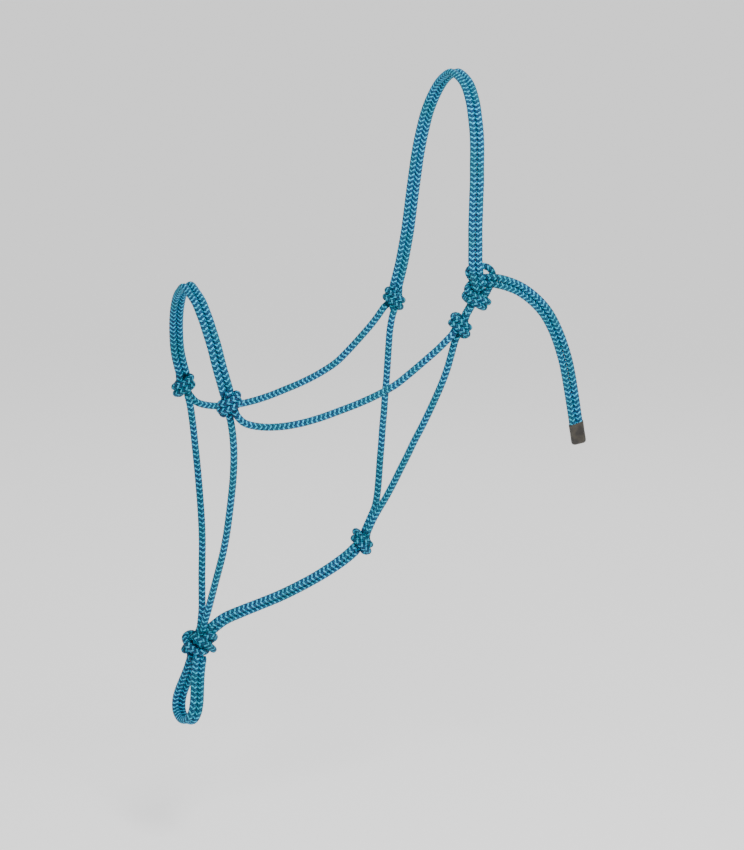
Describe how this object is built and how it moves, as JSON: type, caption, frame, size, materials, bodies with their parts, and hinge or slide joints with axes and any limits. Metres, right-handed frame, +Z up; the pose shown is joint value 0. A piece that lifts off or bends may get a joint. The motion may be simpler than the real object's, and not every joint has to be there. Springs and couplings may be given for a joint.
{
  "type": "rope halter",
  "caption": "Knotted rope halter for a horse, with double noseband and crown, side and fiador knots, lead loop and a tied crown tail in a sleeve.",
  "frame": {"origin": "under the middle of the crown, where it rests on the horse's poll", "axes": "+Z up, -Y towards the horse's nose, +X towards the horse's left side, where the crown is tied"},
  "size_m": [0.1784, 0.3823, 0.602],
  "materials": {
    "braided_cord": "braided polyester, turquoise and navy chevrons",
    "knotted_cord": "the same braided cord, tightened in knots",
    "end_sleeve": "dark brown shrunk sleeve, satin"
  },
  "bodies": {
    "crown": {"crown_front_strand": "braided_cord", "crown_rear_strand": "braided_cord", "tie_loop_front_leg": "braided_cord", "tie_loop_rear_leg": "braided_cord", "crown_hitch": "knotted_cord"},
    "headstall": {"cheek_knot_left": "knotted_cord", "cheek_knot_right": "knotted_cord", "cheek_rope_left": "braided_cord", "cheek_rope_right": "braided_cord", "nose_knot_left": "knotted_cord", "nose_knot_right": "knotted_cord"},
    "noseband": {"noseband_front_strand": "braided_cord", "noseband_rear_strand": "braided_cord"},
    "chin": {"chin_drop_left": "braided_cord", "chin_drop_right": "braided_cord", "chin_knot": "knotted_cord"},
    "throat": {"throat_rope_left": "braided_cord", "throat_rope_right": "braided_cord", "throat_knot": "knotted_cord"},
    "jaw": {"jaw_upper_strand": "braided_cord", "jaw_lower_strand": "braided_cord"},
    "lead_loop": {"lead_loop_front_strand": "braided_cord", "lead_loop_rear_strand": "braided_cord"},
    "tail": {"tail_upper_strand": "braided_cord", "tail_lower_strand": "braided_cord", "tail_end_sleeve": "end_sleeve"}
  },
  "joints": [
    {"name": "crown_fold", "type": "hinge", "parent": "crown", "child": "headstall", "pos_m": [0, -0.02875, -0.221], "axis": [0.9986, -0.0235, -0.0469], "range_deg": [-50, 25]},
    {"name": "noseband_fold", "type": "hinge", "parent": "headstall", "child": "noseband", "pos_m": [0, -0.25325, -0.2845], "axis": [0.9997, 0.0227, 0], "range_deg": [-35, 60]},
    {"name": "chin_swing", "type": "hinge", "parent": "headstall", "child": "chin", "pos_m": [0, -0.25325, -0.2845], "axis": [1, 0, 0], "range_deg": [-10, 10]},
    {"name": "throat_swing", "type": "hinge", "parent": "headstall", "child": "throat", "pos_m": [0, -0.02875, -0.221], "axis": [1, 0, 0], "range_deg": [-13, 13]},
    {"name": "jaw_fold", "type": "hinge", "parent": "throat", "child": "jaw", "pos_m": [0, -0.096, -0.4385], "axis": [1, 0, 0], "range_deg": [-17.5, 17.5]},
    {"name": "lead_loop_swing", "type": "hinge", "parent": "chin", "child": "lead_loop", "pos_m": [0, -0.2625, -0.5195], "axis": [1, 0, 0], "range_deg": [-60, 60]},
    {"name": "tail_swing", "type": "hinge", "parent": "crown", "child": "tail", "pos_m": [0.081, 0.002, -0.185], "axis": [1, 0, 0], "range_deg": [-20, 50]}
  ],
  "couplings": [
    {"joint": "throat_swing", "follows": "chin_swing", "ratio": 1.2625},
    {"joint": "jaw_fold", "follows": "chin_swing", "ratio": -1.709}
  ]
}
